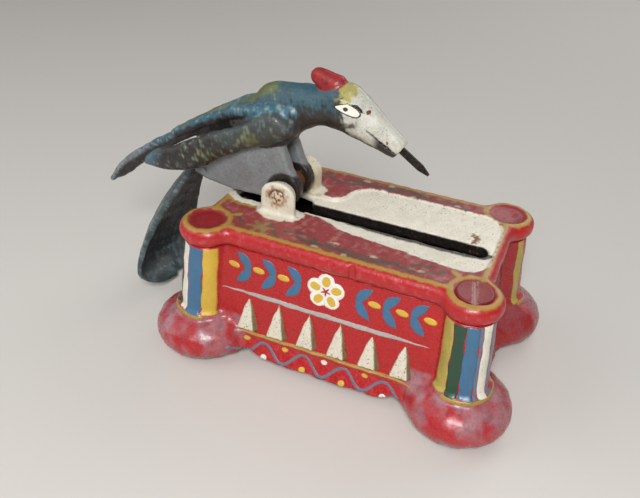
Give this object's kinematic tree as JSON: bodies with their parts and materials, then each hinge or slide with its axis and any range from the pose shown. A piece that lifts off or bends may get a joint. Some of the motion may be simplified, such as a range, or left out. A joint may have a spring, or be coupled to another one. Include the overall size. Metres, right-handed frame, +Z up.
{
  "type": "cast iron bank",
  "caption": "Cast iron table bank: red footed box with a dished trough and long slot, and a pivoting bird whose beak blade dips to the slot.",
  "frame": {"origin": "centre of the whole object's box in plan, at the floor", "axes": "+Z up, +X along the slot towards the beak, -Y the side that shows the plate screw at the beak's end"},
  "size_m": [0.2408, 0.127, 0.142],
  "materials": {
    "red_enamel": "gloss red enamel on cast iron, worn",
    "plate_enamel": "worn red and cream enamel on cast iron",
    "blue_enamel": "worn blue enamel on cast iron",
    "tail_enamel": "speckled blue-grey enamel on cast iron",
    "rusty_steel": "rusty steel",
    "blade_steel": "darkened spring steel",
    "sheet_steel": "aged sheet steel"
  },
  "bodies": {
    "box": {"box_body": "red_enamel", "top_plate": "plate_enamel", "plate_screw_front": "plate_enamel", "plate_screw_back": "plate_enamel", "pivot_pin": "rusty_steel", "base_plate": "sheet_steel", "button_rivet_front": "rusty_steel", "button_rivet_back": "rusty_steel"},
    "bird": {"bird_front_half": "blue_enamel", "bird_back_half": "blue_enamel", "tail_paddle": "tail_enamel", "beak_blade": "blade_steel", "blade_pin": "rusty_steel", "head_rivet": "rusty_steel", "shoulder_rivet": "rusty_steel", "paddle_rivet_upper": "rusty_steel", "paddle_rivet_lower": "rusty_steel", "leg_spacer": "rusty_steel"},
    "button_front": {"turn_button_front": "sheet_steel"},
    "button_back": {"turn_button_back": "sheet_steel"}
  },
  "joints": [
    {"name": "bird_tilt", "type": "hinge", "parent": "box", "child": "bird", "pos_m": [-0.00945, 0, 0.081], "axis": [0, 1, 0], "range_deg": [0, 30]},
    {"name": "button_front_turn", "type": "hinge", "parent": "box", "child": "button_front", "pos_m": [0.02755, -0.0417, 0.0036], "axis": [0, 0, 1], "range_deg": [-90, 90]},
    {"name": "button_back_turn", "type": "hinge", "parent": "box", "child": "button_back", "pos_m": [0.02755, 0.0417, 0.0036], "axis": [0, 0, 1], "range_deg": [-90, 90]}
  ]
}
